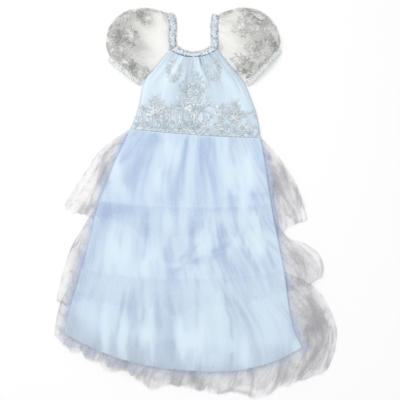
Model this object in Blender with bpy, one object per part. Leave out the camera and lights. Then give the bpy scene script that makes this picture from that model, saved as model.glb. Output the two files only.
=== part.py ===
"""A child's long princess costume dress, laid flat on its back with the neck towards +Y.

Each piece of cloth that a maker would cut is one closed wall. From the floor up lie the back tulle tiers,
the satin back, the satin front and the front tulle tiers. The sleeves are hollow puffs beside the bodice.
Lengths are in metres, and the middle of the dress's underside is at the origin.
"""

import math
from collections import namedtuple

import bmesh
import bpy
import numpy as np
from mathutils import Matrix, Vector

# Cloth wall, measured straight up, and the gap that pieces keep at a seam
CLOTH = 0.0012
SEAM = 0.0003
LAYER = CLOTH + SEAM

# How far past the satin's edge the tulle stays at full height, how wide its slope to the floor is, and how far
# past the edge the back tiers, which are flat under the skirt, start to ripple
LAP = 0.008
SLOPE = 0.030
RIPPLE_START = 0.050

# How square the low edge of a section is: 2 is a parabola
FULLNESS = 2.4

# Sleeve: height of the puff and of the open cuff above the flat cloth, the cuff band's width, the height and
# number of its gathers, and the share of its length where they rise from the armhole seam
PUFF = 0.026
CUFF_OPENING = 0.009
CUFF_BAND = 0.010
GATHER = 0.0045
GATHERS = 6
ARMHOLE_FLAT = 0.10

# Share of the sleeve's top edge that is sewn to the bodice, and not to the neck casing
RAGLAN_SHARE = 9 / 17

# Colours: base colour, roughness
COLOURS = {
    "satin": ((0.66, 0.81, 0.93), 0.38),
    "tulle": ((0.64, 0.72, 0.88), 0.75),
    "embroidered_net": ((0.80, 0.81, 0.80), 0.70),
    "neck_satin": ((0.60, 0.74, 0.88), 0.45),
}

# A section runs from the left edge of a piece to its right edge and dips between them. Its height is base over
# the satin skirt and wing past the skirt's edge, and its folds stand up by ripple.
Section = namedtuple("Section", "left_x left_y right_x right_y dip deepest base wing ripple")

BODICE = (
    Section(-0.066, 0.372, 0.053, 0.374, 0.019, 0.50, 0.0015, 0.0015, 0.0022),
    Section(-0.099, 0.333, 0.080, 0.338, 0.014, 0.50, 0.0015, 0.0015, 0.0025),
    Section(-0.129, 0.297, 0.116, 0.295, 0.009, 0.50, 0.0015, 0.0015, 0.0022),
    Section(-0.139, 0.253, 0.134, 0.253, 0.005, 0.50, 0.0015, 0.0015, 0.0018),
    Section(-0.149, 0.213, 0.151, 0.206, 0.004, 0.50, 0.0018, 0.0018, 0.0010),
    Section(-0.164, 0.1755, 0.159, 0.1535, 0.004, 0.50, 0.0030, 0.0030, 0.0000),
)
NECK_FRONT = (
    Section(-0.0490, 0.3810, 0.0360, 0.3810, 0.0140, 0.50, 0.0015, 0.0015, 0.0012),
    Section(-0.0652, 0.3728, 0.0522, 0.3748, 0.0186, 0.50, 0.0015, 0.0015, 0.0030),
)
SKIRT = (
    Section(-0.164, 0.175, 0.159, 0.153, 0.004, 0.50, 0.0030, 0.0030, 0.0000),
    Section(-0.203, 0.092, 0.172, 0.080, 0.008, 0.50, 0.0045, 0.0045, 0.0020),
    Section(-0.244, -0.010, 0.187, -0.020, 0.013, 0.50, 0.0045, 0.0045, 0.0025),
    Section(-0.269, -0.112, 0.206, -0.117, 0.020, 0.50, 0.0045, 0.0045, 0.0030),
    Section(-0.296, -0.210, 0.224, -0.212, 0.033, 0.51, 0.0045, 0.0045, 0.0030),
    Section(-0.319, -0.285, 0.235, -0.300, 0.055, 0.53, 0.0045, 0.0045, 0.0035),
    Section(-0.329, -0.335, 0.264, -0.370, 0.075, 0.55, 0.0045, 0.0045, 0.0050),
)
TIER_1_FRONT = (
    Section(-0.164, 0.175, 0.159, 0.153, 0.004, 0.50, 0.0045, 0.0045, 0.0000),
    Section(-0.221, 0.130, 0.184, 0.122, 0.008, 0.50, 0.0065, 0.0038, 0.0025),
    Section(-0.243, 0.073, 0.225, 0.068, 0.022, 0.50, 0.0084, 0.0052, 0.0035),
    Section(-0.251, 0.018, 0.256, 0.012, 0.044, 0.50, 0.0110, 0.0052, 0.0045),
    Section(-0.256, -0.028, 0.266, -0.020, 0.070, 0.52, 0.0140, 0.0068, 0.0060),
)
TIER_1_BACK = (
    Section(-0.164, 0.175, 0.159, 0.153, 0.004, 0.50, 0.0, 0.0, 0.0000),
    Section(-0.232, 0.130, 0.187, 0.127, 0.008, 0.50, 0.0, 0.0, 0.0000),
    Section(-0.271, 0.078, 0.226, 0.076, 0.018, 0.50, 0.0, 0.0, 0.0020),
    Section(-0.305, 0.026, 0.258, 0.018, 0.036, 0.52, 0.0, 0.0, 0.0030),
    Section(-0.334, -0.022, 0.279, -0.057, 0.056, 0.55, 0.0, 0.0, 0.0030),
)
TIER_2_FRONT = (
    Section(-0.240, -0.004, 0.184, -0.012, 0.012, 0.50, 0.0086, 0.0034, 0.0010),
    Section(-0.276, -0.060, 0.207, -0.073, 0.018, 0.50, 0.0090, 0.0034, 0.0025),
    Section(-0.292, -0.116, 0.259, -0.118, 0.026, 0.50, 0.0095, 0.0052, 0.0035),
    Section(-0.308, -0.176, 0.300, -0.156, 0.036, 0.50, 0.0122, 0.0097, 0.0045),
    Section(-0.324, -0.236, 0.309, -0.198, 0.050, 0.50, 0.0146, 0.0097, 0.0055),
)
TIER_2_BACK = (
    Section(-0.240, -0.004, 0.184, -0.012, 0.012, 0.50, 0.0015, 0.0015, 0.0000),
    Section(-0.292, -0.084, 0.216, -0.090, 0.020, 0.50, 0.0015, 0.0015, 0.0000),
    Section(-0.316, -0.128, 0.267, -0.110, 0.024, 0.50, 0.0000, 0.0000, 0.0020),
    Section(-0.338, -0.196, 0.314, -0.148, 0.036, 0.50, 0.0000, 0.0000, 0.0000),
    Section(-0.351, -0.258, 0.315, -0.194, 0.052, 0.50, 0.0000, 0.0000, 0.0000),
)
TIER_3_FRONT = (
    Section(-0.278, -0.174, 0.212, -0.178, 0.022, 0.50, 0.0095, 0.0034, 0.0010),
    Section(-0.305, -0.230, 0.250, -0.228, 0.034, 0.52, 0.0098, 0.0066, 0.0030),
    Section(-0.325, -0.282, 0.304, -0.276, 0.056, 0.54, 0.0102, 0.0066, 0.0040),
    Section(-0.335, -0.318, 0.334, -0.340, 0.082, 0.55, 0.0112, 0.0050, 0.0050),
    Section(-0.341, -0.334, 0.312, -0.412, 0.086, 0.52, 0.0118, 0.0050, 0.0060),
)
TIER_3_BACK = (
    Section(-0.278, -0.174, 0.212, -0.178, 0.022, 0.50, 0.0015, 0.0015, 0.0000),
    Section(-0.327, -0.232, 0.290, -0.216, 0.034, 0.52, 0.0015, 0.0015, 0.0000),
    Section(-0.345, -0.280, 0.330, -0.270, 0.060, 0.54, 0.0015, 0.0015, 0.0000),
    Section(-0.353, -0.320, 0.353, -0.346, 0.092, 0.55, 0.0000, 0.0000, 0.0030),
    Section(-0.354, -0.336, 0.326, -0.430, 0.092, 0.50, 0.0000, 0.0000, 0.0030),
)

# A sleeve's fold runs round the outside of the puff, from the top of the neck edge to the cuff's far end.
Sleeve = namedtuple("Sleeve", "side top fold cuff_inner cuff_outer")
SLEEVE_LEFT = Sleeve(
    side="left",
    top=(-0.0712, 0.4650),
    fold=((-0.116, 0.478), (-0.172, 0.472), (-0.212, 0.440), (-0.228, 0.395)),
    cuff_inner=(-0.1350, 0.2900),
    cuff_outer=(-0.2160, 0.3540),
)
SLEEVE_RIGHT = Sleeve(
    side="right",
    top=(0.0562, 0.4620),
    fold=((0.100, 0.478), (0.156, 0.472), (0.194, 0.440), (0.210, 0.402)),
    cuff_inner=(0.1225, 0.2880),
    cuff_outer=(0.2060, 0.3760),
)

# Neck casing on a shoulder: its inner and outer edge at the bodice corner and at the top
Casing = namedtuple("Casing", "low_inner low_outer high_inner high_outer")
CASING_LEFT = Casing((-0.0493, 0.3815), (-0.0660, 0.3735), (-0.0530, 0.4640), (-0.0706, 0.4640))
CASING_RIGHT = Casing((0.0363, 0.3815), (0.0530, 0.3755), (0.0380, 0.4610), (0.0556, 0.4610))


def smooth(rows, v):
    """The section a share v of the way down the rows, on a smooth curve through them."""
    place = v * (len(rows) - 1)
    first = min(int(place), len(rows) - 2)
    t = place - first
    wanted = (max(first - 1, 0), first, first + 1, min(first + 2, len(rows) - 1))
    before, here, there, after = (np.array(rows[k]) for k in wanted)
    value = here + 0.5 * t * (there - before)
    value += 0.5 * t**2 * (2 * before - 5 * here + 4 * there - after)
    value += 0.5 * t**3 * (3 * here - before - 3 * there + after)
    return Section(*value)


def along(section, u):
    """(x, y) a share u of the way from a section's left end to its right end."""
    reach = section.deepest if u < section.deepest else 1 - section.deepest
    sag = 1 - abs((u - section.deepest) / reach) ** FULLNESS
    x = section.left_x + u * (section.right_x - section.left_x)
    y = section.left_y + u * (section.right_y - section.left_y) - section.dip * sag
    return x, y


# The satin skirt's outline, which the tulle drapes over
EDGES = [smooth(SKIRT, v) for v in np.linspace(0, 1, 41)]
HEM = [along(SKIRT[-1], u) for u in np.linspace(0, 1, 41)]
LEFT_EDGE = sorted((edge.left_y, edge.left_x) for edge in EDGES)
RIGHT_EDGE = sorted((edge.right_y, edge.right_x) for edge in EDGES)


def past_skirt(x, y):
    """How far a place lies outside the satin skirt's sides and hem, and negative inside."""
    past_left = np.interp(y, *zip(*LEFT_EDGE)) - x
    past_right = x - np.interp(y, *zip(*RIGHT_EDGE))
    past_hem = np.interp(x, *zip(*HEM)) - y
    return max(past_left, past_right, past_hem)


def rise(distance, start):
    """0 before a start and 1 past a slope's width, with a soft turn at both ends."""
    share = min(max((distance - start) / SLOPE, 0), 1)
    return share * share * (3 - 2 * share)


def wave(u, count, phase):
    """A row of folds, 0 in a trough and up to 1 on a ridge, unevenly wide and high."""
    drift = 0.30 * math.sin(2 * math.pi * (2 * u + phase)) + 0.15 * math.sin(2 * math.pi * (5 * u - phase))
    height = 0.75 + 0.25 * math.sin(2 * math.pi * (3 * u + 2 * phase))
    return height * (0.5 - 0.5 * math.cos(2 * math.pi * (count * u + drift)))


def cloth_material(name):
    """A plain dyed cloth, made once for each name in COLOURS."""
    material = bpy.data.materials.get(name) or bpy.data.materials.new(name)
    colour, roughness = COLOURS[name]
    material.use_nodes = True
    shader = material.node_tree.nodes["Principled BSDF"]
    shader.inputs["Base Color"].default_value = (*colour, 1)
    shader.inputs["Roughness"].default_value = roughness
    material.diffuse_color = (*colour, 1)
    return material


def cloth_wall(name, material, outside, inside, columns, lines, closed=False):
    """A wall between two faces, each a function of (u, v). A closed one is a tube round u."""
    shape = bmesh.new()
    across_layer = shape.verts.layers.float.new("across")
    down_layer = shape.verts.layers.float.new("down")
    bmesh.ops.create_grid(shape, x_segments=columns, y_segments=lines, size=0.5)
    for point in shape.verts:
        point[across_layer] = round((point.co.x + 0.5) * columns) / columns
        point[down_layer] = round((0.5 - point.co.y) * lines) / lines
    grown = bmesh.ops.extrude_face_region(shape, geom=shape.faces[:])["geom"]
    inner = {part for part in grown if isinstance(part, bmesh.types.BMVert)}
    for point in shape.verts:
        face = inside if point in inner else outside
        point.co = face(point[across_layer], point[down_layer])
    if closed:
        seam_faces = [face for face in shape.faces if is_seam(face, across_layer)]
        bmesh.ops.delete(shape, geom=seam_faces, context="FACES")
        bmesh.ops.remove_doubles(shape, verts=shape.verts[:], dist=1e-7)
    bmesh.ops.recalc_face_normals(shape, faces=shape.faces[:])
    mesh = bpy.data.meshes.new(name)
    shape.to_mesh(mesh)
    shape.free()
    mesh.shade_smooth()
    mesh.set_sharp_from_angle(angle=math.radians(50))
    mesh.materials.append(cloth_material(material))
    piece = bpy.data.objects.new(name, mesh)
    DRESS.objects.link(piece)


def is_seam(face, across_layer):
    """Whether a face is the rim at the first or last column, where a tube meets itself."""
    places = {round(point[across_layer], 6) for point in face.verts}
    return places in ({0.0}, {1.0})


def panel(name, material, rows, columns, lines, waves=0, phase=0.0, lift=0.0, flat_under_skirt=False, scallop=0.0):
    """A flat-laid piece through its sections, with folds that run down it."""

    def top(u, v):
        section = smooth(rows, v)
        x, y = along(section, u)
        past = past_skirt(x, y)
        fold = wave(u, waves, phase) if waves else 0.0
        ripple = max(section.ripple, 0) * fold * (rise(past, RIPPLE_START) if flat_under_skirt else 1)
        flat = section.base + (section.wing - section.base) * rise(past, LAP)
        underside = max(flat + lift, 0) + ripple
        return Vector((x, y - scallop * fold * v**4, underside + CLOTH))

    def under(u, v):
        return top(u, v) - Vector((0, 0, CLOTH))

    cloth_wall(name, material, top, under, columns, lines)


def strip(name, casing, columns, puckers, lift):
    """A straight run of the neck casing from the bodice's corner to the top of the shoulder."""
    corners = [Vector(corner).to_3d() for corner in casing]

    def top(u, v):
        low = corners[0].lerp(corners[1], v)
        high = corners[2].lerp(corners[3], v)
        pucker = 0.0030 * v * wave(u, puckers, 0.4) if puckers else 0.0
        return low.lerp(high, u) + Vector((0, 0, lift + CLOTH + pucker))

    def under(u, v):
        return top(u, v) - Vector((0, 0, CLOTH))

    cloth_wall(name, "neck_satin", top, under, columns, 2)


def curve_point(points, t):
    """The point a share t of the way along a smooth curve through a few points."""
    place = t * (len(points) - 1)
    first = min(int(place), len(points) - 2)
    t = place - first
    wanted = (max(first - 1, 0), first, first + 1, min(first + 2, len(points) - 1))
    before, here, there, after = (Vector(points[k]) for k in wanted)
    value = here + 0.5 * t * (there - before)
    value += 0.5 * t**2 * (2 * before - 5 * here + 4 * there - after)
    return value + 0.5 * t**3 * (3 * here - before - 3 * there + after)


def armhole(sleeve, t):
    """The sleeve's sewn edge: up the bodice's side from the underarm, then along the neck casing."""
    outward = Vector((-2 * SEAM if sleeve.side == "left" else 2 * SEAM, 0))
    if t < RAGLAN_SHARE:
        underarm = 2 / (len(BODICE) - 1)
        edge = smooth(BODICE, underarm * (1 - t / RAGLAN_SHARE))
        return outward + Vector((getattr(edge, sleeve.side + "_x"), getattr(edge, sleeve.side + "_y")))
    corner = Vector((getattr(BODICE[0], sleeve.side + "_x"), getattr(BODICE[0], sleeve.side + "_y"))) + outward
    return corner.lerp(Vector(sleeve.top), (t - RAGLAN_SHARE) / (1 - RAGLAN_SHARE))


def sleeve_plan(sleeve, s, t):
    """(x, y) in the sleeve, s from the armhole to the cuff and t from the underarm to the outer fold."""
    inner, outer = Vector(sleeve.cuff_inner), Vector(sleeve.cuff_outer)
    start, end = armhole(sleeve, t), inner.lerp(outer, t)
    fold = curve_point((sleeve.top, *sleeve.fold, sleeve.cuff_outer), s)
    seam = armhole(sleeve, 0).lerp(inner, s)
    low = armhole(sleeve, 0).lerp(armhole(sleeve, 1), t)
    corners = low.lerp(inner.lerp(outer, t), s)
    return start.lerp(end, s) + seam.lerp(fold, t) - corners


def sleeve_height(s, t):
    """Height of the sleeve's upper face: a puff, with gathers at the armhole and at the cuff."""
    crown = PUFF * math.sin(math.pi * s) ** 0.8 + CUFF_OPENING * s
    at_armhole = (1 - s) ** 2 * min(s / ARMHOLE_FLAT, 1)
    gather = GATHER * wave(t, GATHERS, 0.2) * (at_armhole + 0.7 * s**3)
    return LAYER + CLOTH + bulge(t) * (crown + gather)


def bulge(t):
    """How far a flat-laid tube stands open across its width, from 0 at a fold to 1 in the middle."""
    return max(math.sin(math.pi * t), 0) ** 0.7


def tube(name, material, plan, height, columns, lines):
    """A flat-laid tube that is open at both ends, with its lower wall on the floor."""

    def side_of(u):
        """(t, whether on the upper wall) at share u round the tube."""
        place = round(u * 2 * columns) % (2 * columns)
        upper = place < columns
        return (place if upper else 2 * columns - 1 - place) / (columns - 1), upper

    def outside(u, v):
        t, upper = side_of(u)
        return plan(v, t).to_3d() + Vector((0, 0, height(v, t) if upper else 0))

    def inside(u, v):
        t, upper = side_of(u)
        inset = CLOTH / max((plan(v, 1) - plan(v, 0)).length, CLOTH)
        t = min(max(t, inset), 1 - inset)
        return plan(v, t).to_3d() + Vector((0, 0, height(v, t) - CLOTH if upper else CLOTH))

    cloth_wall(name, material, outside, inside, 2 * columns, lines, closed=True)


def sleeve_and_cuff(name, sleeve):
    """The puff of embroidered net and its elastic cuff band."""
    tube(f"sleeve_{name}", "embroidered_net", lambda s, t: sleeve_plan(sleeve, s, t), sleeve_height, 18, 7)
    inner, outer = Vector(sleeve.cuff_inner), Vector(sleeve.cuff_outer)
    off = (outer - inner).orthogonal().normalized()
    if off.y > 0:
        off = -off

    def cuff_plan(s, t):
        return inner.lerp(outer, t) + off * (SEAM + CUFF_BAND * s)

    def cuff_height(s, t):
        return LAYER + CLOTH + bulge(t) * (CUFF_OPENING + 0.5 * GATHER * s * wave(t, GATHERS, 0.2))

    tube(f"cuff_{name}", "neck_satin", cuff_plan, cuff_height, 16, 1)


def bodice():
    """The satin front and back, the embroidered net over the front, and the elastic casing round the neck."""
    panel("bodice_satin_back", "satin", BODICE, 10, 8, lift=-LAYER)
    panel("bodice_satin_front", "satin", BODICE, 28, 8, waves=7, phase=0.1)
    panel("bodice_net_front", "embroidered_net", BODICE, 28, 8, waves=7, phase=0.1, lift=LAYER)
    panel("neck_casing_back", "neck_satin", NECK_FRONT, 10, 1, lift=-LAYER)
    panel("neck_casing_front", "neck_satin", NECK_FRONT, 36, 2, waves=9, phase=0.3)
    for name, casing in (("left", CASING_LEFT), ("right", CASING_RIGHT)):
        strip(f"shoulder_casing_{name}_back", casing, 6, 0, 0)
        strip(f"shoulder_casing_{name}_front", casing, 28, 7, LAYER)


def skirt():
    """The satin skirt's back and front."""
    panel("skirt_satin_back", "satin", SKIRT, 12, 8, lift=-LAYER)
    panel("skirt_satin_front", "satin", SKIRT, 32, 8, waves=8, phase=0.25)


def tiers():
    """Three gathered tulle tiers, each with a front and a back half."""
    fronts = (TIER_1_FRONT, TIER_2_FRONT, TIER_3_FRONT)
    backs = (TIER_1_BACK, TIER_2_BACK, TIER_3_BACK)
    for number, (front, back) in enumerate(zip(fronts, backs), start=1):
        phase = 0.3 * number
        panel(f"tulle_tier_{number}_back", "tulle", back, 28, 6, 7, phase, flat_under_skirt=True, scallop=0.009)
        panel(f"tulle_tier_{number}_front", "tulle", front, 48, 6, 12, phase, scallop=0.006)


def centre_on_floor():
    """Moves the whole dress so that the middle of its underside is at the origin."""
    corners = [Vector(corner) for piece in DRESS.objects for corner in piece.bound_box]
    low = Vector([min(corner[axis] for corner in corners) for axis in range(3)])
    high = Vector([max(corner[axis] for corner in corners) for axis in range(3)])
    middle = (low + high) / 2
    for piece in DRESS.objects:
        piece.data.transform(Matrix.Translation((-middle.x, -middle.y, -low.z)))


for leftover in list(bpy.data.objects):
    bpy.data.objects.remove(leftover)
DRESS = bpy.data.collections.new("princess_costume_dress")
bpy.context.scene.collection.children.link(DRESS)
bodice()
skirt()
tiers()
sleeve_and_cuff("left", SLEEVE_LEFT)
sleeve_and_cuff("right", SLEEVE_RIGHT)
centre_on_floor()
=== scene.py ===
# %% [markdown]
# A child's long costume dress, laid flat on its back and seen from straight above. It has an elastic
# neck, puff sleeves of embroidered net, a gathered satin bodice with an embroidered net over its front, a
# satin skirt and three gathered tiers of tulle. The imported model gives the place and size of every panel
# of cloth, and this lesson lays a finer cloth on each of them.

# %% Load the frame
import math
import random

import bmesh
import bpy
from mathutils import Matrix, Vector, noise
from mathutils.bvhtree import BVHTree


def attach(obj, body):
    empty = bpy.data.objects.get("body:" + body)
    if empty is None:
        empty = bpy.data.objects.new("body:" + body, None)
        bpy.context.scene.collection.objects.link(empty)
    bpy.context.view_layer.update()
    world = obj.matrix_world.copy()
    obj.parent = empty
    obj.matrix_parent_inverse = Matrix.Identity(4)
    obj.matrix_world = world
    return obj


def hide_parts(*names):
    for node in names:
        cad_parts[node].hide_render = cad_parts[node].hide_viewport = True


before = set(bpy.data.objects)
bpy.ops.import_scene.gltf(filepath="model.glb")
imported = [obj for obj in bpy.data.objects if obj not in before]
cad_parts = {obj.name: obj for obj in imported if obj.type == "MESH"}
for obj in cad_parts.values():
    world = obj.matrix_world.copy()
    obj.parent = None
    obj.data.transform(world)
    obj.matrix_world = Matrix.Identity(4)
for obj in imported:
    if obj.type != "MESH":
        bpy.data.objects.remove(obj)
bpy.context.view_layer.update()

# %% [markdown]
# The photograph looks straight down on the dress. One metre of floor fills its frame from edge to edge,
# so the lens and the camera's height are chosen together: a long lens from far away hardly bends the
# outline.

# %% Place the camera
MM = 0.001
VIEW_WIDTH = 1000 * MM
LENS = 85
SENSOR = 36
VIEW_CENTRE = (11 * MM, 2 * MM)

camera_data = bpy.data.cameras.new("camera")
camera_data.lens = LENS
camera_data.sensor_width = SENSOR
camera = bpy.data.objects.new("camera", camera_data)
camera.location = (*VIEW_CENTRE, VIEW_WIDTH * LENS / SENSOR)
bpy.context.scene.collection.objects.link(camera)
bpy.context.scene.camera = camera
bpy.context.scene.view_settings.view_transform = "Standard"
print("the camera stands", round(camera.location.z, 2), "m above the floor")

# %% [markdown]
# Pale cloth on white needs an even light from above, or its shadows turn dirty. A bright sky fills every
# fold, and one wide lamp from the upper left gives the folds a lit side and a soft side.


# %% Light the table
def add_lamp(name, place, size, power):
    """A soft square lamp that shines at the middle of the dress."""
    data = bpy.data.lights.new(name, "AREA")
    data.size = size
    data.energy = power
    lamp = bpy.data.objects.new(name, data)
    lamp.location = place
    lamp.rotation_euler = (-Vector(place)).to_track_quat("-Z", "Y").to_euler()
    bpy.context.scene.collection.objects.link(lamp)


SKY_LIGHT = 0.80
world = bpy.data.worlds.new("studio")
world.use_nodes = True
world.node_tree.nodes["Background"].inputs["Color"].default_value = (1.0, 1.0, 1.0, 1)
world.node_tree.nodes["Background"].inputs["Strength"].default_value = SKY_LIGHT
bpy.context.scene.world = world
add_lamp("key", (-1.2, 1.0, 1.8), 1.2, 16)
add_lamp("fill", (0.9, -0.8, 2.2), 1.5, 6)

bpy.ops.object.select_all(action="DESELECT")
bpy.ops.mesh.primitive_plane_add(size=8, location=(0, 0, -0.5 * MM))
floor = bpy.context.object
floor.name = "floor"
floor_paint = bpy.data.materials.new("floor_paint")
floor_paint.use_nodes = True
floor_paint.node_tree.nodes["Principled BSDF"].inputs["Base Color"].default_value = (0.95, 0.95, 0.95, 1)
floor_paint.node_tree.nodes["Principled BSDF"].inputs["Roughness"].default_value = 0.9
floor.data.materials.append(floor_paint)

# %% [markdown]
# Every finish is cloth, so all of them are built with one small kit of shader nodes. Each cloth carries a
# UV map in metres that follows its own threads, so a weave turns with the panel. Two point attributes say
# how the cloth lies: bunching is how densely it is gathered, and shade is how far its second colour
# shows. On the satin, the tulle and the ruched bands that colour is painted shade, such as a deeper blue
# in the folds or grey net on the table; on the sleeve net it is partly painted shade.


# %% A kit for the cloth materials
class ClothNodes:
    """Builds one material's nodes from left to right."""

    def __init__(self, name):
        self.material = bpy.data.materials.new(name)
        self.material.use_nodes = True
        self.tree = self.material.node_tree
        self.shader = self.tree.nodes["Principled BSDF"]

    def add(self, kind, settings=(), values=(), links=()):
        """A node with its settings, socket values and incoming links."""
        node = self.tree.nodes.new(kind)
        for name, value in dict(settings).items():
            setattr(node, name, value)
        for socket, value in dict(values).items():
            node.inputs[socket].default_value = value
        for socket, source in dict(links).items():
            self.tree.links.new(source, node.inputs[socket])
        return node

    def math(self, operation, first, second):
        """first and second combined, where each is a socket or a number."""
        node = self.add("ShaderNodeMath", {"operation": operation})
        for place, value in enumerate((first, second)):
            if isinstance(value, (int, float)):
                node.inputs[place].default_value = value
            else:
                self.tree.links.new(value, node.inputs[place])
        return node.outputs[0]

    def noise(self, source, scale, detail=3.0, rough=0.5):
        values = {"Scale": scale, "Detail": detail, "Roughness": rough}
        return self.add("ShaderNodeTexNoise", values=values, links={"Vector": source}).outputs["Fac"]

    def blend(self, share, first, second):
        """A colour between two, by a share that varies over the cloth."""
        node = self.add("ShaderNodeMix", {"data_type": "RGBA"}, links={"Factor": share})
        node.inputs[6].default_value = (*first, 1)
        node.inputs[7].default_value = (*second, 1)
        return node.outputs[2]

    def range(self, source, low, high, new_low=0.0, new_high=1.0):
        """Stretches a value from one range to another."""
        values = {"From Min": low, "From Max": high, "To Min": new_low, "To Max": new_high}
        return self.add("ShaderNodeMapRange", values=values, links={"Value": source}).outputs[0]

    def bump(self, height, depth, strength=1.0):
        values = {"Strength": strength, "Distance": depth}
        node = self.add("ShaderNodeBump", values=values, links={"Height": height})
        self.tree.links.new(node.outputs[0], self.shader.inputs["Normal"])

    def place(self):
        """The cloth's own coordinates: its threads in metres, and its place in the dress."""
        node = self.add("ShaderNodeTexCoord")
        return node.outputs["UV"], node.outputs["Object"]

    def attribute(self, name):
        return self.add("ShaderNodeAttribute", {"attribute_name": name}).outputs["Fac"]

    def set(self, **values):
        """Sets the shader's own sockets, with spaces written as underscores."""
        for name, value in values.items():
            self.shader.inputs[name.replace("_", " ")].default_value = value

    def link(self, socket, source):
        self.tree.links.new(source, self.shader.inputs[socket])


# %% [markdown]
# Polyester satin is smooth and light blue. Its long floating threads all run one way, so its gloss
# stretches across the thread, which is what the anisotropic setting does. Small creases catch the light
# as fine streaks, and painted shade turns the colour a deeper blue in the folds' valleys and along the
# bodice's seams.


# %% Satin
# The deeper blue of painted shade in the valleys of folds and along the bodice's seams
VALLEY_SHADE_BLUE = (0.26, 0.37, 0.50)


def make_satin():
    cloth = ClothNodes("blue_satin")
    threads, dress = cloth.place()
    drift = cloth.noise(dress, 9.0, 4.0)
    dye = cloth.blend(drift, (0.66, 0.80, 0.90), (0.735, 0.855, 0.93))
    # Painted shade: the shade attribute turns the dye towards a deeper blue
    into_painted_shade = {"Factor": cloth.attribute("shade"), 6: dye}
    valley_shade = cloth.add("ShaderNodeMix", {"data_type": "RGBA"}, links=into_painted_shade)
    valley_shade.inputs[7].default_value = (*VALLEY_SHADE_BLUE, 1)
    cloth.link("Base Color", valley_shade.outputs[2])
    crushed = cloth.add("ShaderNodeMapping", values={"Scale": (42.0, 11.0, 1.0)}, links={"Vector": threads})
    creases = cloth.noise(crushed.outputs[0], 1.0, 5.0, 0.6)
    floats = cloth.add("ShaderNodeMapping", values={"Scale": (1400.0, 90.0, 1.0)}, links={"Vector": threads})
    weave = cloth.noise(floats.outputs[0], 1.0, 1.0)
    cloth.link("Roughness", cloth.range(weave, 0.2, 0.8, 0.30, 0.44))
    cloth.bump(cloth.math("ADD", creases, cloth.math("MULTIPLY", weave, 0.04)), 2.2 * MM, 0.55)
    cloth.set(Anisotropic=0.6, Sheen_Weight=0.15, Sheen_Roughness=0.4, Specular_IOR_Level=0.5)
    return cloth.material


satin = make_satin()
print("made", satin.name)


# %% [markdown]
# Tulle is a net far too fine to model, so its holes are alpha. A single layer only veils what is under
# it. Where it is gathered, several layers stand in line and it turns dense: the bunching attribute raises
# alpha there, and a cell pattern in thread coordinates keeps the net readable up close. Its colour is
# lavender blue over the satin and painted grey on the table, a painted shade where no blue light comes up
# from the satin, so the shade attribute blends two colours.


# %% Tulle
NET_CELL = 1.6 * MM


def net_holes(cloth, threads, thread_share):
    """1 on the net's thread and 0 in its holes."""
    cells = cloth.add(
        "ShaderNodeTexVoronoi",
        {"feature": "DISTANCE_TO_EDGE", "voronoi_dimensions": "2D"},
        {"Scale": 1 / NET_CELL, "Randomness": 0.25},
        {"Vector": threads},
    )
    return cloth.range(cells.outputs["Distance"], thread_share * 0.6, thread_share, 1.0, 0.0)


def make_tulle():
    cloth = ClothNodes("blue_tulle")
    threads, _ = cloth.place()
    # Lavender blue over the satin, and a grey on the table that is painted shade
    over_satin, shaded_table_grey = (0.40, 0.50, 0.74), (0.46, 0.455, 0.485)
    cloth.link("Base Color", cloth.blend(cloth.attribute("shade"), over_satin, shaded_table_grey))
    drawn_out = cloth.add("ShaderNodeMapping", values={"Scale": (210.0, 9.0, 1.0)}, links={"Vector": threads})
    mottle = cloth.range(cloth.noise(drawn_out.outputs[0], 1.0, 4.0, 0.6), 0.3, 0.7, 0.70, 1.30)
    veil = cloth.math("MULTIPLY", cloth.range(cloth.attribute("bunching"), 0.0, 1.0, 0.02, 0.66), mottle)
    thread = cloth.range(net_holes(cloth, threads, 0.12), 0.0, 1.0, 0.8, 1.45)
    cloth.link("Alpha", cloth.math("MULTIPLY", veil, thread))
    cloth.set(Roughness=0.8, Sheen_Weight=0.2, Sheen_Roughness=0.5, Specular_IOR_Level=0.2)
    return cloth.material


tulle = make_tulle()
print("made", tulle.name)


# %% [markdown]
# The sleeves and the bodice overlay are a finer ivory net. The thread that is embroidered on it is a
# silver-grey rayon: it shines along its stitches, so it gets a low roughness and ridges that run across
# each leaf.


# %% Net and embroidery thread
def make_net(name, pale, grey, open_alpha, dense_alpha):
    cloth = ClothNodes(name)
    threads, dress = cloth.place()
    drift = cloth.range(cloth.noise(dress, 40.0, 4.0), 0.3, 0.7, -0.15, 0.15)
    tone = cloth.math("ADD", cloth.attribute("shade"), drift)
    cloth.link("Base Color", cloth.blend(tone, pale, grey))
    veil = cloth.range(cloth.attribute("bunching"), 0.0, 1.0, open_alpha, dense_alpha)
    thread = cloth.range(net_holes(cloth, threads, 0.10), 0.0, 1.0, 0.8, 1.5)
    cloth.link("Alpha", cloth.math("MULTIPLY", veil, thread))
    cloth.set(Roughness=0.7, Sheen_Weight=0.2, Specular_IOR_Level=0.3)
    return cloth.material


def make_thread(name, pale, deep):
    cloth = ClothNodes(name)
    stitches, dress = cloth.place()
    tone = cloth.range(cloth.noise(dress, 34.0, 4.0, 0.6), 0.36, 0.64, 0.0, 0.75)
    edged = cloth.math("ADD", tone, cloth.math("MULTIPLY", cloth.attribute("shade"), 0.55))
    cloth.link("Base Color", cloth.blend(edged, pale, deep))
    rows = {"Scale": 6.0, "Distortion": 0.6}
    lines = cloth.add("ShaderNodeTexWave", values=rows, links={"Vector": stitches})
    cloth.link("Roughness", cloth.range(tone, 0.0, 1.0, 0.32, 0.5))
    cloth.bump(lines.outputs["Fac"], 0.4 * MM, 0.6)
    cloth.set(Specular_IOR_Level=0.6, Sheen_Weight=0.2)
    return cloth.material


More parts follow.
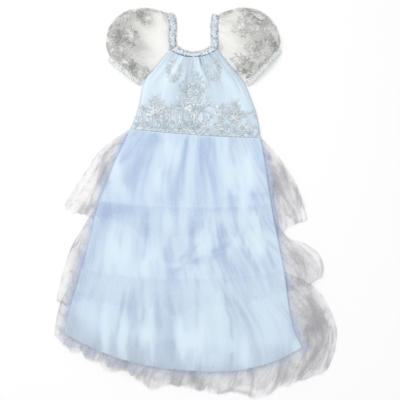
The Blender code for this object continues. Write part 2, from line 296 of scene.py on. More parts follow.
# The sleeve net's grey is partly its doubled layers and embroidery and partly painted shade
sleeve_net = make_net("sleeve_net", (1.0, 1.0, 0.95), (0.50, 0.51, 0.50), 0.12, 0.85)
overlay_net = make_net("overlay_net", (0.80, 0.88, 0.94), (0.58, 0.64, 0.69), 0.04, 0.36)
silver_thread = make_thread("silver_thread", (0.90, 0.93, 0.95), (0.46, 0.53, 0.58))
sleeve_thread = make_thread("sleeve_thread", (0.90, 0.90, 0.86), (0.22, 0.23, 0.23))
print("made", sleeve_net.name, overlay_net.name, silver_thread.name, sleeve_thread.name)


# %% [markdown]
# The neck casing and the sleeve bands are satin drawn up on elastic. The cloth between the stitches
# crumples into small hard glints, so this finish is glossier and its creases are finer and deeper than
# the skirt's. Its colour carries painted glints and painted shade that follow the crumples, and painted
# shade along the casings' edges.


# %% Ruched satin
def make_ruched_satin(name, pale, deep):
    cloth = ClothNodes(name)
    _, dress = cloth.place()
    crumple = cloth.noise(dress, 240.0, 3.0, 0.6)
    # Painted glints and shade: the colour follows the same crumple noise as the bump, deeper again where the
    # shade attribute paints shade
    tone = cloth.math("ADD", cloth.range(crumple, 0.32, 0.68, 0.0, 0.7), cloth.attribute("shade"))
    cloth.link("Base Color", cloth.blend(cloth.range(tone, 0.1, 1.3), pale, deep))
    cloth.link("Roughness", cloth.range(crumple, 0.3, 0.7, 0.42, 0.22))
    cloth.bump(crumple, 1.6 * MM, 0.8)
    cloth.set(Specular_IOR_Level=0.8, Sheen_Weight=0.15)
    return cloth.material


# Each band's pale colour carries the painted glints and its deep colour the painted shade
neck_satin = make_ruched_satin("ruched_satin", (0.84, 0.91, 0.96), (0.13, 0.20, 0.28))
cuff_satin = make_ruched_satin("cuff_satin", (0.90, 0.91, 0.89), (0.36, 0.44, 0.45))
print("made", neck_satin.name, cuff_satin.name)

# %% [markdown]
# A panel of laid cloth is a grid of threads whose four sides are sewn or hemmed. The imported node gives
# those four sides and the height of the cloth between them. So the rim of its upper face is walked once,
# cut at its four corners, and a plain grid is stretched between the sides. That keeps the threads running
# down the panel, which a copy of the node's triangles would not.


# %% Read a panel's rim and height from the frame
MERGE = 0.01 * MM


class NodeFace:
    """The upper face of a CAD node: its rim in order, and its height at any place."""

    def __init__(self, node, above=0.0):
        shape = bmesh.new()
        shape.from_mesh(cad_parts[node].data)
        bmesh.ops.remove_doubles(shape, verts=shape.verts[:], dist=MERGE)
        shape.normal_update()
        spare = [f for f in shape.faces if f.normal.z < 0.2 or f.calc_center_median().z < above]
        bmesh.ops.delete(shape, geom=spare, context="FACES")
        self.tree = BVHTree.FromBMesh(shape)
        self.rim = self.walk(shape)
        shape.free()

    def walk(self, shape):
        """The rim's points, anticlockwise from above."""
        rim_edges = [edge for edge in shape.edges if edge.is_boundary]
        first = rim_edges[0].verts[0]
        ring, last, here = [first], None, first
        while True:
            choices = [edge.other_vert(here) for edge in here.link_edges if edge.is_boundary]
            step = next(v for v in choices if v is not last)
            if step is first:
                break
            ring.append(step)
            last, here = here, step
        points = [v.co.copy() for v in ring]
        turns = sum(a.x * b.y - a.y * b.x for a, b in zip(points, points[1:] + points[:1]))
        return points if turns > 0 else points[::-1]

    def corner(self, towards):
        """The place in the rim that lies furthest in a direction."""
        heading = Vector(towards)
        return max(range(len(self.rim)), key=lambda k: self.rim[k].xy.dot(heading))

    def height(self, x, y):
        hit = self.tree.ray_cast(Vector((x, y, 1)), Vector((0, 0, -1)))[0]
        return hit.z if hit else self.tree.find_nearest(Vector((x, y, 0)))[0].z

    def run(self, start, end):
        """The rim from one place to another, the way that the ring is walked."""
        end = end if end >= start else end + len(self.rim)
        return [self.rim[k % len(self.rim)] for k in range(start, end + 1)]


def measure(points):
    """The distance walked at each point of a line."""
    walked = [0.0]
    for a, b in zip(points, points[1:]):
        walked.append(walked[-1] + (b - a).length)
    return walked


class Side:
    """One side of a panel, as a smooth line from 0 to 1."""

    def __init__(self, points):
        self.points = [p.xy for p in points]
        walked = measure(self.points)
        self.length = walked[-1]
        self.shares = [w / self.length for w in walked]

    def at(self, t):
        k = max(i for i in range(len(self.shares) - 1) if self.shares[i] <= t + 1e-9)
        t = (t - self.shares[k]) / max(self.shares[k + 1] - self.shares[k], 1e-9)
        before = self.points[max(k - 1, 0)]
        here, there = self.points[k], self.points[k + 1]
        after = self.points[min(k + 2, len(self.points) - 1)]
        value = here + 0.5 * t * (there - before)
        value += 0.5 * t**2 * (2 * before - 5 * here + 4 * there - after)
        return value + 0.5 * t**3 * (3 * here - before - 3 * there + after)


# The directions of a panel's corners: top left, top right, lower right and lower left
PANEL_CORNERS = ((-0.3, 1), (0.3, 1), (1, -0.6), (-1, -0.6))


class Panel:
    """A node's upper face, with u from its left side to its right and v from its top to its hem."""

    def __init__(self, node, corners=PANEL_CORNERS, above=0.0, short_side=None):
        self.face = NodeFace(node, above)
        places = [self.face.corner(towards) for towards in corners]
        if short_side:
            places[0] = self.step_back(places[3], short_side, places[1])
        top_left, top_right, low_right, low_left = places
        if self.goes_round(places):
            self.left = Side(self.face.run(top_left, low_left))
            self.hem = Side(self.face.run(low_left, low_right))
            self.right = Side(self.face.run(low_right, top_right)[::-1])
            self.top = Side(self.face.run(top_right, top_left)[::-1])
        else:
            self.left = Side(self.face.run(low_left, top_left)[::-1])
            self.hem = Side(self.face.run(low_right, low_left)[::-1])
            self.right = Side(self.face.run(top_right, low_right))
            self.top = Side(self.face.run(top_left, top_right))
        self.width = (self.top.length + self.hem.length) / 2
        self.length = (self.place(0.5, 0) - self.place(0.5, 1)).length
        ring = self.face.rim
        self.area = sum(a.x * b.y - a.y * b.x for a, b in zip(ring, ring[1:] + ring[:1])) / 2

    def goes_round(self, places):
        """Whether top left, lower left, lower right and top right follow the ring's own way."""
        count = len(self.face.rim)
        steps = [(places[k] - places[0]) % count for k in (3, 2, 1)]
        return steps[0] < steps[1] < steps[2]

    def step_back(self, place, distance, away_from):
        """The rim point about so far from a corner, on the side away from the next corner."""
        count = len(self.face.rim)
        ways = []
        for way in (1, -1):
            walked, k = 0.0, place
            while walked < distance:
                walked += (self.face.rim[(k + way) % count] - self.face.rim[k % count]).xy.length
                k += way
            ways.append(k % count)
        target = self.face.rim[away_from]
        return min(ways, key=lambda k: (self.face.rim[k] - target).xy.length)

    def place(self, u, v):
        """(x, y) at a share u across and v down."""
        top, hem, left, right = self.top.at(u), self.hem.at(u), self.left.at(v), self.right.at(v)
        corners = self.top.at(0).lerp(self.top.at(1), u).lerp(self.hem.at(0).lerp(self.hem.at(1), u), v)
        return top.lerp(hem, v) + left.lerp(right, u) - corners


skirt_panel = Panel("skirt_satin_front")
print("the satin skirt is", round(1000 * skirt_panel.length), "mm long at its sides")

# %% [markdown]
# The cloth itself starts as a grid primitive, as by hand, and each of its points is then laid on the
# panel. Folds are soft ridges along the thread: they come from ridged noise that is stretched down the
# panel, so no two are alike in length, depth or spacing.


# %% Lay a cloth
def ridge(across, down, seed):
    """An uneven row of folds: 1 along a sharp crest and 0 in a wide trough."""
    return (1 - abs(noise.noise(Vector((across, down, seed))))) ** 2


def soft(across, down, seed):
    """Slow uneven waves between -1 and 1."""
    return noise.noise(Vector((across, down, seed)))


def within(value, low=0.0, high=1.0):
    """A value held between two limits."""
    return min(max(value, low), high)


def keep_only(piece):
    """Makes a piece the one selected and active object."""
    bpy.ops.object.select_all(action="DESELECT")
    piece.select_set(True)
    bpy.context.view_layer.objects.active = piece


def apply_modifier(piece, kind, **settings):
    """Adds a modifier with its settings and applies it."""
    modifier = piece.modifiers.new(kind.lower(), kind)
    for name, value in settings.items():
        setattr(modifier, name, value)
    keep_only(piece)
    bpy.ops.object.modifier_apply(modifier=modifier.name)


def lay_cloth(name, panel, columns, rows, shape, material):
    """A cloth on a panel, from a grid primitive. shape gives each point's place, bunching and shade."""
    bpy.ops.object.select_all(action="DESELECT")
    bpy.ops.mesh.primitive_grid_add(x_subdivisions=columns, y_subdivisions=rows, size=1)
    cloth = bpy.context.object
    cloth.name = name
    cloth.data.name = name
    bunching = cloth.data.attributes.new("bunching", "FLOAT", "POINT")
    shade = cloth.data.attributes.new("shade", "FLOAT", "POINT")
    for point, dense, grey in zip(cloth.data.vertices, bunching.data, shade.data):
        u, v = point.co.x + 0.5, 0.5 - point.co.y
        x, y = panel.place(u, v)
        point.co, dense.value, grey.value = shape(u, v, x, y)
    for corner in cloth.data.uv_layers.active.data:
        corner.uv = (corner.uv[0] * panel.width, corner.uv[1] * panel.length)
    cloth.data.materials.append(material)
    cloth.data.shade_smooth()
    return cloth


def belongs(piece, slot, *nodes):
    """The piece rides with the dress and stands for its nodes; its slot is not used."""
    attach(piece, "root")
    if nodes:
        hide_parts(*nodes)
    print(piece.name, "has", len(piece.data.polygons), "faces")


# %% [markdown]
# The satin skirt is the dress's base layer. It lies nearly flat, with long soft folds that fan out from
# the waist and a narrow hem turned up and stitched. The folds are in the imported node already. This adds
# the smaller ones between them, and gives the cloth its real thickness.

# %% Satin skirt
SATIN_THICK = 0.5 * MM
HEM_SHARE = 0.03


def satin_front_shape(u, v, x, y):
    height = skirt_panel.face.height(x, y)
    fine = 1.3 * MM * v * ridge(26 * u, 1.6 * v, 3.1) * min(20 * u, 20 * (1 - u), 1)
    hem = 0.5 * MM if v > 1 - HEM_SHARE else 0.0
    return Vector((x, y, height + fine + hem)), 0.0, 0.0


def satin_back_shape(u, v, x, y):
    return Vector((x, y, back_panel.face.height(x, y) - 0.4 * MM)), 0.0, 0.0


back_panel = Panel("skirt_satin_back")
skirt_front = lay_cloth("satin_skirt_front", skirt_panel, 150, 100, satin_front_shape, satin)
skirt_back = lay_cloth("satin_skirt_back", back_panel, 60, 40, satin_back_shape, satin)
for cloth in (skirt_front, skirt_back):
    apply_modifier(cloth, "SOLIDIFY", thickness=SATIN_THICK, offset=-1)
belongs(skirt_front, "satin", "skirt_satin_front")
belongs(skirt_back, "satin", "skirt_satin_back")

# %% [markdown]
# Each tulle tier is a strip that is gathered into a seam and falls free to a raw hem. Streaks where the
# gathers stand several layers deep, windows where one thin layer lets the satin show, and thick places
# where the net is heaped make it read as tulle. The windows, the thick places and the long creases are
# listed one by one, because they are what the eye finds first on this dress.

# %% Where the tulle is thin and where it is creased
# A window: its middle, its half width and half length in millimetres, and how thin the tulle is there
WINDOWS = (
    (-195, 70, 16, 44, 0.90),
    (-92, 46, 16, 42, 0.85),
    (-55, 118, 14, 36, 0.75),
    (74, 104, 16, 40, 0.75),
    (128, 55, 38, 62, 1.00),
    (-196, -132, 20, 34, 0.90),
    (-104, -132, 18, 32, 0.90),
    (-68, -56, 18, 26, 0.75),
    (22, -102, 20, 30, 0.90),
    (98, -102, 20, 24, 0.80),
    (156, -104, 12, 34, 0.80),
    (-38, -160, 60, 10, 0.60),
    (-229, -328, 9, 36, 0.90),
    (-186, -346, 15, 34, 0.85),
    (-124, -330, 30, 40, 0.95),
    (-16, -346, 36, 34, 0.95),
    (62, -300, 12, 60, 0.50),
    (120, -384, 11, 40, 0.90),
    (248, -364, 10, 26, 0.80),
)
# A thick place, where folds of net lie on each other: its middle, half width, half length and bunching
THICK_PLACES = (
    (214, 50, 26, 70, 0.24),
    (262, -148, 34, 46, 0.34),
    (296, -318, 50, 100, 0.60),
    (262, -408, 70, 42, 0.55),
    (-316, -285, 26, 80, 0.35),
    (-262, -368, 70, 26, 0.35),
    (-140, -412, 80, 18, 0.35),
    (20, -424, 90, 16, 0.30),
    (-238, 70, 18, 70, 0.18),
    (-302, -130, 20, 60, 0.18),
    (-165, 70, 50, 110, 0.12),
    (-196, -18, 64, 26, 0.26),
    (100, -10, 74, 18, 0.16),
    (-240, -400, 150, 26, 0.20),
    (120, -425, 150, 22, 0.20),
)
# A crease: its two ends, its half width, how much it bunches the tulle and how high it stands
CREASES = (
    ((-48, -172), (86, -104), 4.2, 0.62, 2.5),
    ((-16, -166), (60, -128), 7.0, 0.35, 2.0),
    ((-40, -150), (20, -96), 3.6, 0.45, 1.5),
    ((66, 2), (176, 18), 5.0, 0.22, 1.5),
    ((-98, 160), (-178, 40), 17.0, 0.42, 2.0),
    ((-178, 60), (-240, -60), 15.0, 0.42, 2.0),
    ((-130, 150), (-206, 0), 3.0, 0.40, 1.6),
    ((18, 140), (2, -60), 12.0, 0.34, 1.2),
    ((-26, 150), (-34, 10), 5.0, 0.30, 1.2),
    ((40, 150), (52, -30), 8.0, 0.24, 1.2),
    ((-118, -30), (-132, -140), 8.0, 0.36, 1.2),
    ((-8, -40), (-14, -150), 8.0, 0.34, 1.2),
    ((60, -60), (68, -150), 6.0, 0.26, 1.2),
    ((-238, -50), (-284, -200), 12.0, 0.34, 1.6),
    ((66, -190), (92, -340), 3.4, 0.45, 1.6),
    ((-130, -196), (-158, -320), 4.0, 0.30, 1.2),
    ((0, -186), (8, -330), 5.0, 0.26, 1.2),
    ((-54, -350), (-56, -420), 7.0, 0.55, 2.0),
    ((84, -380), (86, -436), 5.0, 0.55, 2.0),
    ((214, -100), (300, -176), 3.0, 0.45, 1.6),
    ((226, -156), (312, -148), 2.6, 0.45, 1.6),
    ((236, -196), (316, -128), 3.0, 0.40, 1.6),
    ((232, -120), (262, -200), 3.4, 0.45, 1.6),
    ((236, -240), (330, -336), 3.4, 0.35, 2.0),
    ((250, -300), (318, -404), 3.0, 0.40, 2.0),
    ((296, -226), (344, -310), 3.0, 0.40, 2.0),
    ((226, -396), (306, -430), 4.0, 0.45, 2.0),
    ((284, -330), (262, -440), 3.4, 0.45, 2.0),
    ((-170, 120), (-300, -20), 3.4, 0.40, 1.6),
    ((-190, 60), (-322, -6), 3.0, 0.40, 1.6),
    ((-190, 20), (-300, -24), 3.0, 0.35, 1.6),
    ((210, 110), (262, -10), 3.4, 0.35, 1.6),
    ((190, 60), (250, -40), 3.0, 0.35, 1.6),
    ((150, -20), (196, -180), 3.0, 0.35, 1.6),
)


def window_at(x, y):
    """How far the tulle thins at a place, from 0 to 1."""
    thin = 0.0
    ragged = within(1 + 2.6 * soft(46 * x, 11 * y, 5.5) + 1.4 * soft(120 * x, 20 * y, 3.5), 0.2, 3)
    for middle_x, middle_y, half_width, half_length, strength in WINDOWS:
        across = (x / MM - middle_x) / half_width
        down = (y / MM - middle_y) / half_length
        thin = max(thin, strength * math.exp(-((across**2 + down**2) * ragged) ** 1.5))
    return thin


def thick_at(x, y):
    """How much the net bunches at a place where its folds lie on each other."""
    dense = 0.0
    for middle_x, middle_y, half_width, half_length, strength in THICK_PLACES:
        across = (x / MM - middle_x) / half_width
        down = (y / MM - middle_y) / half_length
        dense = max(dense, strength * math.exp(-(across**2) - down**2))
    return dense


def crease_at(x, y):
    """(bunching, height) of the hand-placed creases at a place."""
    here, dense, high = Vector((x / MM, y / MM)), 0.0, 0.0
    for start, end, half_width, bunch, height in CREASES:
        run = Vector(end) - Vector(start)
        along = (here - Vector(start)).dot(run) / run.length_squared
        if -0.1 < along < 1.1:
            wander = 7 * soft(3 * along, start[0] / 50, 7.0)
            off = abs((here - Vector(start)).dot(run.orthogonal().normalized()) + wander) / half_width
            fade = min(8 * (along + 0.1), 8 * (1.1 - along), 1) * (0.9 + 0.5 * soft(3 * along, 0, start[1]))
            shape = fade * math.exp(-(off**2))
            dense, high = max(dense, bunch * shape), max(high, height * MM * shape)
    return dense, high


def beyond_satin(x, y):
    """How far outside the satin skirt's edge a place is, in metres, and 0 on the satin."""
    if skirt_panel.face.tree.ray_cast(Vector((x, y, 1)), Vector((0, 0, -1)))[0]:
        return 0.0
    nearest = skirt_panel.face.tree.find_nearest(Vector((x, y, 5 * MM)))[0]
    return (nearest.xy - Vector((x, y))).length


print(len(WINDOWS), "windows,", len(THICK_PLACES), "thick places and", len(CREASES), "creases")

# %% Gather the tulle tiers
TIERS = ("tulle_tier_1", "tulle_tier_2", "tulle_tier_3")
HEM_WANDER = 13 * MM
RAW_EDGE = 6 * MM
TULLE_COLUMNS = 320
# How far down each tier is lapped by the one above it, and how densely it veils: all over and in its streaks
TOP_LAPS = (0.001, 0.22, 0.26)
VEILS = ((0.09, 0.50), (0.09, 0.48), (0.12, 0.38))


def streaks(u, v, seed):
    """How densely the gathers stand in long streaks of three widths, from 0 to 1."""
    lean = 0.06 * soft(3 * u, 2 * v, seed + 1)
    broad = soft(8 * (u + lean), 0.9 * v, seed)
    middle = soft(23 * (u + lean), 1.6 * v, seed + 2)
    fine = soft(64 * (u + 0.5 * lean), 2.5 * v, seed + 3)
    return within(0.45 + 0.75 * broad + 0.55 * middle + 0.60 * fine)


def crumple(u, v, x, y, seed):
    """Sharp wrinkles, from 0 to 1: long ones down the tier and small ones that cross."""
    wide = max(1 - 8 * abs(soft(26 * u + 0.5 * soft(6 * v, 7 * x, seed), 1.6 * v, seed)), 0)
    small = max(1 - 6 * abs(soft(44 * x, 34 * y, seed + 1)), 0)
    return max(wide, 0.55 * small) ** 1.5


def tulle_shape(panel, number, seed, is_front, top_lap):
    """A shape function for one gathered strip, uneven by its seed and thin where tiers lap."""

    base, depth = VEILS[number]

    def shape(u, v, x, y):
        inside = min(12 * u, 12 * (1 - u), 1)
        # The folds and gathers, which bunch the net where they stand
        folds = ridge(20 * u, 1.1 * v, seed) * 0.6 + ridge(47 * u, 2.0 * v, seed + 3) * 0.4
        gathers = ridge(110 * u, 3.0 * v, seed + 5) * (1 - v) ** 3
        beyond = beyond_satin(x, y)
        table = within(beyond / (4 * MM))
        streak = streaks(u, v, seed)
        crease, crease_height = crease_at(x, y) if is_front else (0.0, 0.0)
        dense = base + depth * streak**2.4 + 0.16 * gathers + crease
        # Thin where two tiers lap, thick where folds lie on each other and near the last hem
        lapped = 0.62 * within(1.3 - v / top_lap) + 0.55 * within((v - 0.70) / 0.12)
        dense *= 1 - lapped * (1 - table)
        dense += thick_at(x, y) * (1.0 if is_front else 0.5)
        at_hem = within((v - 0.62) / 0.22) * (number == 2)
        dense += 0.30 * at_hem
        # Past the satin the tulle lies crumpled on the table
        if table:
            dense = (dense + 0.05) * (0.42 + 1.9 * crumple(u, v, x, y, seed)) * (1 - 0.35 * at_hem)
            dense += 0.10 * (1 - at_hem) * math.exp(-beyond / (12 * MM))
        dense *= 1 - (window_at(x, y) if is_front else 0.0)
        # Its edges: a fold at each side, a patchy line of painted shade just inside the hem on the table, and
        # a hem that frays away
        side = min(u, 1 - u) * panel.width
        broken = within(0.4 + 1.8 * soft(14 * v, u, seed + 6))
        fold_edge = table * math.exp(-((side / (2.5 * MM)) ** 2)) * broken
        hem = (1 - v) * panel.length
        raw = within(hem / (RAW_EDGE * (1 + 1.6 * soft(16 * u, 0, seed + 7))))
        patchy = within(0.2 + 2.4 * soft(18 * u, 0, seed + 8))
        hem_shade = table * math.exp(-(((hem - 7 * MM) / (3 * MM)) ** 2)) * patchy
        dense = (dense + 0.5 * fold_edge + 0.5 * hem_shade) * (0.15 + 0.85 * raw) * within(0.4 + 16 * v)
        # Its place: the hem wanders along the thread and the folds stand up
        down = Vector((x, y)) - panel.place(u, max(v - 0.05, 0))
        down = down.normalized() if down.length > 0 else Vector((0, -1))
        frill = 3.0 * abs(soft(11 * u, 0, seed + 2)) + 0.9 * abs(soft(34 * u, 0, seed + 4)) - 0.6
        spot = Vector((x, y)) + down * HEM_WANDER * frill * v**8
        lift = (3.2 * v + 0.6) * MM * folds * inside + 1.2 * MM * gathers + crease_height
        height = panel.face.height(x, y) + (lift if is_front else 0.4 * lift)
        # Painted shade in the notches between the hem's frills, where the tulle lies on the table
        notch = abs(soft(11 * u, 0, seed + 2))
        dense += 0.65 * math.exp(-((notch / 0.04) ** 2)) * within((v - 0.84) / 0.08) * table * raw
        # Painted shade: the net greys on the table over 20 mm past the satin's edge; the lower tiers and the
        # last hem are also a greyer tone
        grey = max(within(beyond / (20 * MM)), 0.16 * number + 0.3 * at_hem)
        return Vector((spot.x, spot.y, height)), within(dense), grey

    return shape


tulle_cloths, tulle_panels = {}, {}
for number, tier in enumerate(TIERS):
    for half, columns in (("back", TULLE_COLUMNS // 2), ("front", TULLE_COLUMNS)):
        node = f"{tier}_{half}"
        tier_panel = tulle_panels[node] = Panel(node)
        seed = 11.3 * number + (5.0 if half == "front" else 0.0)
        shape = tulle_shape(tier_panel, number, seed, half == "front", TOP_LAPS[number])
        tulle_cloths[node] = lay_cloth(f"{node}_cloth", tier_panel, columns, columns // 4, shape, tulle)
        belongs(tulle_cloths[node], "tulle", node)

# %% [markdown]
# The bodice is gathered into the neck casing and hangs in an A-line to the waist. The satin and the net
# over it are gathered as one, so both take the same folds: sharp under the neck, long towards the sides,
# and gone at the waist, where the seam holds them flat.

# %% Bodice
bodice_panel = Panel("bodice_satin_front")
overlay_panel = Panel("bodice_net_front")
bodice_back_panel = Panel("bodice_satin_back")
# A long fold of the bodice: where it starts and ends across and down, its half width and its height
BODICE_FOLDS = (
    ((0.30, 0.0), (0.22, 0.45), 0.020, 2.2),
    ((0.42, 0.0), (0.38, 0.60), 0.018, 2.4),
    ((0.52, 0.0), (0.51, 0.40), 0.016, 2.0),
    ((0.60, 0.0), (0.62, 0.65), 0.020, 2.6),
    ((0.72, 0.0), (0.76, 0.55), 0.018, 2.2),
    ((0.84, 0.05), (0.93, 0.95), 0.022, 3.0),
    ((0.93, 0.25), (0.985, 0.98), 0.012, 2.0),
    ((0.14, 0.05), (0.05, 0.70), 0.018, 2.0),
)


# Where the net is densest under its embroidery: a middle, a half width and a half length in millimetres
HAZE = ((-6, 240, 50, 60), (-104, 216, 36, 36), (100, 208, 36, 36))


def bodice_fold(u, v):
    """The height of the gathers and long folds at a place in the bodice."""
    gathers = 1.5 * MM * ridge(44 * u, 1.2 * v, 4.4) * max(1 - 2.2 * v, 0) ** 1.5
    small = 0.7 * MM * ridge(18 * u, 1.5 * v, 2.2) * (1 - v)
    long_folds = 0.0
    for start, end, half_width, height in BODICE_FOLDS:
        along = (v - start[1]) / (end[1] - start[1])
        if 0 <= along <= 1:
            off = (u - start[0] - along * (end[0] - start[0])) / (half_width * (1 + along))
            fade = min(6 * along + 0.3, 3 * (1 - along), 1)
            long_folds = max(long_folds, height * MM * fade * math.exp(-(off**2)))
    edge = min(30 * u, 30 * (1 - u), 1)
    return (gathers + small + long_folds) * edge


def bodice_shape(u, v, x, y):
    fold = bodice_fold(u, v)
    # Painted shade: thin dark gather lines that reach down from the neck, and broad darker bands across the
    # folds
    reach = within(1 - v / (0.42 + 0.5 * soft(13 * u, 0, 3.3)))
    valley_shade = 1.1 * within(1 - 7 * abs(soft(24 * u, 1.0 * v, 8.8))) * reach
    valley_shade += 0.22 * within(0.35 + 1.6 * soft(6 * u, 0.9 * v, 6.6))
    # Painted shade: a dark line along the side and raglan seams
    side = min(u, 1 - u) * bodice_panel.width
    seam = 0.8 * math.exp(-((side / (1.6 * MM)) ** 2))
    return Vector((x, y, bodice_panel.face.height(x, y) + fold)), 0.0, within(valley_shade + seam)


def overlay_shape(u, v, x, y):
    dense = 0.3 + 0.5 * soft(9 * u, 3 * v, 1.5) + 0.3 * max(1 - 6 * v, 0)
    for middle_x, middle_y, half_width, half_length in HAZE:
        off = ((x / MM - middle_x) / half_width) ** 2 + ((y / MM - middle_y) / half_length) ** 2
        dense += 0.55 * math.exp(-off * off) * within(0.8 + 1.6 * soft(60 * x, 60 * y, 4.5))
    height = overlay_panel.face.height(x, y) - 0.5 * MM + bodice_fold(u, v)
    # The net thins at the upper right, so the satin shows lighter there as a painted highlight on its fold
    dense *= 1 - 0.8 * within((x - 92 * MM) / (20 * MM)) * within((y - 214 * MM) / (20 * MM))
    return Vector((x, y, height)), within(dense), within(dense)


def bodice_back_shape(u, v, x, y):
    return Vector((x, y, bodice_back_panel.face.height(x, y) - 0.4 * MM)), 0.0, 0.0


bodice_front = lay_cloth("bodice_front_satin", bodice_panel, 150, 90, bodice_shape, satin)
bodice_back = lay_cloth("bodice_back_satin", bodice_back_panel, 50, 30, bodice_back_shape, satin)
bodice_net = lay_cloth("bodice_front_net", overlay_panel, 150, 90, overlay_shape, overlay_net)
for cloth in (bodice_front, bodice_back):
    apply_modifier(cloth, "SOLIDIFY", thickness=SATIN_THICK, offset=-1)
belongs(bodice_front, "satin", "bodice_satin_front")
belongs(bodice_back, "satin", "bodice_satin_back")
belongs(bodice_net, "embroidered_net", "bodice_net_front")

# %% [markdown]
# The neck casing is a satin tube with elastic in it. Relaxed elastic draws the cloth up into tight
# puckers that run across the band, deepest in its middle and held flat along its two lines of stitching.

# %% Neck casings
# Corners of a casing along a shoulder: its inner edge low and high, then its outer edge high and low
LEFT_CASING = ((1, -1), (1, 1), (-1, 1), (-1, -1))
RIGHT_CASING = ((-1, -1), (-1, 1), (1, 1), (1, -1))


def ruched_shape(panel, puckers, seed, depth, round_end):
    """A shape function for a band that is drawn up on elastic."""

    def shape(u, v, x, y):
        across = max(math.sin(math.pi * v), 0) ** 0.5
        pucker = ridge(puckers * u + 0.9 * soft(9 * u, 3 * v, seed), 2.2 * v, seed)
        crumples = soft(90 * u, 6 * v, seed + 2)
        height = panel.face.height(x, y) + depth * across * (pucker + 0.5 * crumples)
        middle = (panel.place(u, 0) + panel.place(u, 1)) / 2
        outward = (panel.place(u, 1) - panel.place(u, 0)).normalized()
        middle = middle + outward * (6 * MM * soft(3.5 * u, 0, seed + 4) if round_end else 0)
        spread = 1 + 0.8 * soft(1.7 * puckers * u, 2.0 * round(v), seed + 1)
        if round_end:
            spread *= 0.86 * math.sqrt(1 - 0.9 * within((u - 0.84) / 0.16) ** 2)
        spot = middle + (panel.place(u, v) - panel.place(u, 0.5)) * spread
        # Painted shade: dark lines along the band's two stitched edges and dark patches between the puckers
        edge = abs(2 * v - 1) ** 6
        shade = within(edge + 0.9 * soft(2 * puckers * u, 3 * v, seed + 8))
        return Vector((spot.x, spot.y, height)), 0.0, shade

    return shape


def lay_band(name, node, corners, puckers, seed, depth, round_end):
    panel = Panel(node, corners)
    columns = round(panel.width / (0.8 * MM))
    shape = ruched_shape(panel, puckers, seed, depth, round_end)
    band = lay_cloth(name, panel, columns, 14, shape, neck_satin)
    apply_modifier(band, "SOLIDIFY", thickness=SATIN_THICK, offset=-1)
    belongs(band, "neck_satin", node)
    return band, panel


bands = [
    lay_band("neck_band_front", "neck_casing_front", PANEL_CORNERS, 30, 1.7, 1.8 * MM, False),
    lay_band("neck_band_back", "neck_casing_back", PANEL_CORNERS, 30, 6.1, 0.2 * MM, False),
]
for side, corners in (("left", LEFT_CASING), ("right", RIGHT_CASING)):
    for half, depth in (("front", 2.6 * MM), ("back", 0.2 * MM)):
        node = f"shoulder_casing_{side}_{half}"
        name = f"shoulder_band_{side}_{half}"
        bands.append(lay_band(name, node, corners, 17, len(name) + len(side) / 3, depth, True))

# %% [markdown]
# A puff sleeve is a tube of net, gathered at the armhole and at the cuff and full between them. Its upper
# wall is laid on the node's upper face and its lower wall on the floor, and the two meet along the
# underarm and along the outer fold. Both walls come from one grid primitive each and are welded where
# they meet.

# %% Sleeves and cuffs
# Corners of a sleeve: underarm, top, and the two ends of the cuff
SLEEVE_CORNERS = {
    "left": ((1.2, 1), (1.2, 1), (-1, -0.6), (0.3, -1)),
    "right": ((-1.2, 1), (-1.2, 1), (1, -0.6), (-0.3, -1)),
}
CUFF_CORNERS = {
    "left": ((1.4, 0.17), (-0.17, 1.4), (-1.4, -0.17), (0.17, -1.4)),
    "right": ((-1.4, -0.04), (-0.04, 1.4), (1.4, 0.04), (0.04, -1.4)),
}
UNDERARM = 9 * MM
FOLD_HEIGHT = 1.3 * MM
LOWER_WALL = 0.4 * MM
UPPER_FACE = 2.0 * MM


def edge_blend(u):
    """0 at the two folds of a tube and 1 a little way in."""
    return min(14 * u, 14 * (1 - u), 1)


def puff_fold(u, v, seed):
    """The height of a sleeve's gathers, which run from the armhole to the cuff."""
    at_seams = (1 - v) ** 2 + v**2
    fine = 2.0 * MM * ridge(34 * u, 2.4 * v, seed) * at_seams
    wide = 4.5 * MM * (ridge(9 * u, 1.6 * v, seed + 4) - 0.5)
    return fine + wide


# A bare place on a sleeve, where the ivory net shows: its middle, half width and half length
BARE_PLACES = ((-95, 386, 23, 66), (-122, 350, 36, 15), (88, 384, 27, 70), (109, 352, 36, 16))


def bare_at(x, y):
    """How bare the net is at a place, from 0 to 1."""
    bare = 0.0
    ragged = 1 + 1.4 * soft(28 * x, 28 * y, 9.5)
    for middle_x, middle_y, half_width, half_length in BARE_PLACES:
        across, down = (x / MM - middle_x) / half_width, (y / MM - middle_y) / half_length
        bare = max(bare, math.exp(-((across**2 + down**2) * ragged) ** 1.5))
    return bare


def net_tone(u, v, x, y, seed):
    """(bunching, shade) of a sleeve's net: cloudy, bare in places, with painted shade along the outer fold.
    """
    swirl = soft(15 * x, 15 * y, seed + 6)
    # The grey clouds are partly doubled net and embroidery and partly painted shade, which grows towards the
    # outer fold
    clouds = 0.36 + 1.6 * soft(22 * x + swirl, 22 * y - swirl, seed) + 0.2 * u
    clouds += 1.3 * (ridge(34 * x + 2 * swirl, 34 * y, seed + 1) - 0.62)
    clouds = within(clouds) * (1 - 0.95 * bare_at(x, y))
    # Painted shade: a broken dark line along the outer fold
    fold = math.exp(-(((0.965 - u) / 0.018) ** 2)) * within(0.7 + 2.2 * soft(12 * v, 0, seed))
    rim = within(min(u, 1 - u) / 0.05 + 0.25)
    return within((0.10 + 0.6 * clouds) * rim + 0.7 * fold), within(0.9 * clouds + fold)


def upper_wall(panel, seed):
    def shape(u, v, x, y):
        share = edge_blend(u)
        height = panel.face.height(x, y) + puff_fold(u, v, seed) * share
        dense, grey = net_tone(u, v, x, y, seed)
        return Vector((x, y, FOLD_HEIGHT + (height - FOLD_HEIGHT) * share)), dense, grey

    return shape


